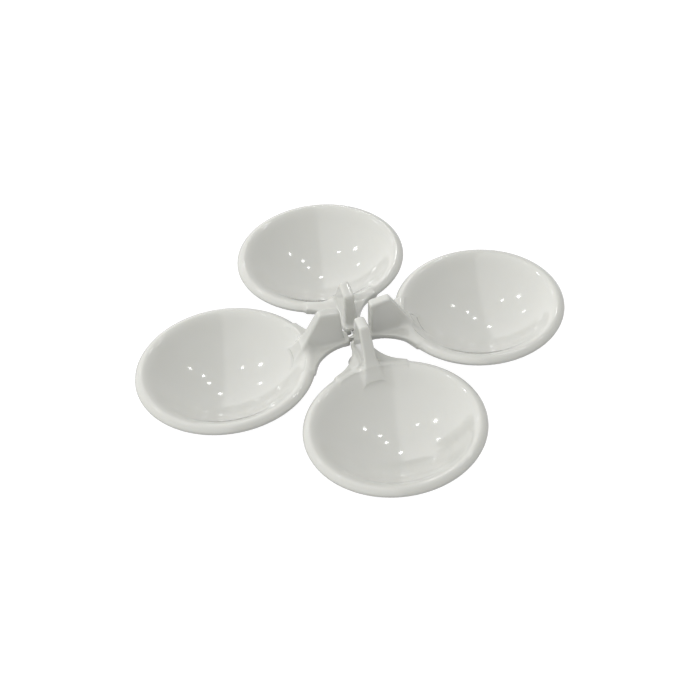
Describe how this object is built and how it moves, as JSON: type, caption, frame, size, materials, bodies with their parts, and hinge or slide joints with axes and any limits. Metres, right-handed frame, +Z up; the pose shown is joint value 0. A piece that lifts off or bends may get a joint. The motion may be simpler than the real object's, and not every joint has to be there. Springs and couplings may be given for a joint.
{
  "type": "mixing palette",
  "caption": "Paint mixing palette of shallow round wells with turned-down lips, set in a cross around a small hub; each well has an upright finger grip and lifts off.",
  "frame": {"origin": "on the hub's axis, in the plane of the table that the feet of the wells stand on", "axes": "+Z up along the hub's axis; the front well lies along -Y, the right well along +X, the back well along +Y and the left well along -X"},
  "size_m": [0.1504, 0.1504, 0.0275],
  "materials": {
    "well_plastic": "glossy moulded plastic, warm white",
    "hub_plastic": "glossy moulded plastic, warm white"
  },
  "bodies": {
    "hub": {"hub": "hub_plastic"},
    "cup_front": {"cup_front": "well_plastic"},
    "cup_right": {"cup_right": "well_plastic"},
    "cup_back": {"cup_back": "well_plastic"},
    "cup_left": {"cup_left": "well_plastic"}
  },
  "joints": [
    {"name": "cup_front_lift", "type": "slide", "parent": "hub", "child": "cup_front", "axis": [0, 0, 1], "range_m": [0, 0.03]},
    {"name": "cup_right_lift", "type": "slide", "parent": "hub", "child": "cup_right", "axis": [0, 0, 1], "range_m": [0, 0.03]},
    {"name": "cup_back_lift", "type": "slide", "parent": "hub", "child": "cup_back", "axis": [0, 0, 1], "range_m": [0, 0.03]},
    {"name": "cup_left_lift", "type": "slide", "parent": "hub", "child": "cup_left", "axis": [0, 0, 1], "range_m": [0, 0.03]}
  ]
}
